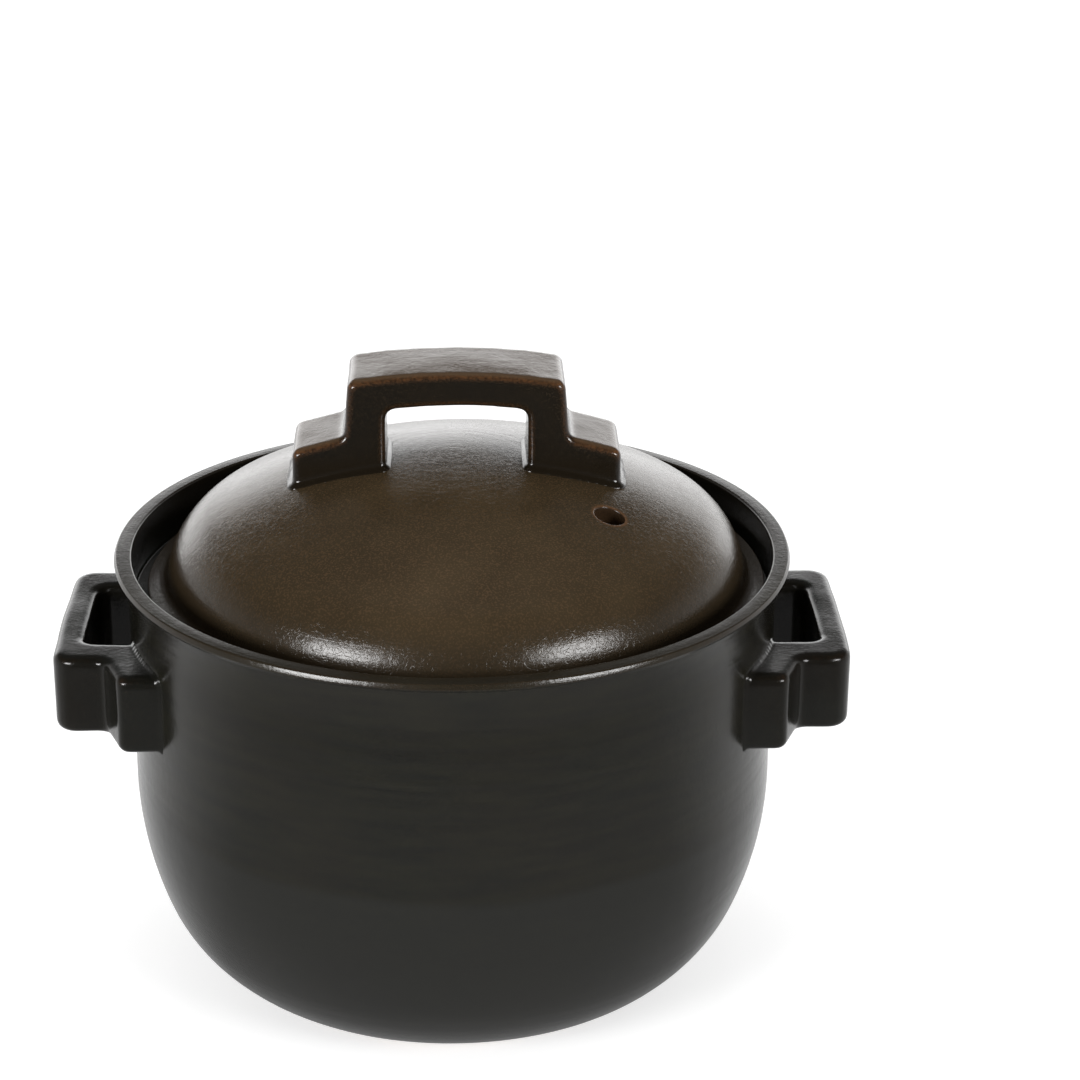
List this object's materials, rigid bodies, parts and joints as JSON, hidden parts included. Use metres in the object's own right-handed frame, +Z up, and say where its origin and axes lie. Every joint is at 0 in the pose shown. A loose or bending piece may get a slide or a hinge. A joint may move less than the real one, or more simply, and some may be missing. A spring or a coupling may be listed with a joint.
{
  "type": "clay rice pot with lid",
  "caption": "Deep round dark-glazed clay pot with staple-shaped side handles, a domed lid with a steam hole and handle, and a flat inner lid.",
  "frame": {"origin": "middle of the base, on the plane that the pot stands on", "axes": "+Z up, +X from side handle to side handle, the steam hole at the front right (+X, -Y)"},
  "size_m": [0.2456, 0.21, 0.2015],
  "materials": {
    "pot_glaze": "brown-black semi-gloss glaze",
    "lid_glaze": "dark brown speckled semi-gloss glaze",
    "inner_glaze": "dark brown satin glaze",
    "bare_clay": "matt unglazed fired clay"
  },
  "bodies": {
    "pot": {"pot_body": "pot_glaze", "side_handle_left": "pot_glaze", "side_handle_right": "pot_glaze"},
    "lid": {"outer_lid": "lid_glaze", "outer_lid_handle": "lid_glaze"},
    "lower_lid": {"inner_lid": "inner_glaze", "inner_lid_knob": "inner_glaze"}
  },
  "joints": [
    {"name": "lid_lift", "type": "slide", "parent": "pot", "child": "lid", "axis": [0, 0, 1], "range_m": [0, 0.16]},
    {"name": "lower_lid_lift", "type": "slide", "parent": "pot", "child": "lower_lid", "axis": [0, 0, 1], "range_m": [0, 0.064]}
  ],
  "couplings": [
    {"joint": "lower_lid_lift", "follows": "lid_lift", "ratio": 0.4}
  ]
}
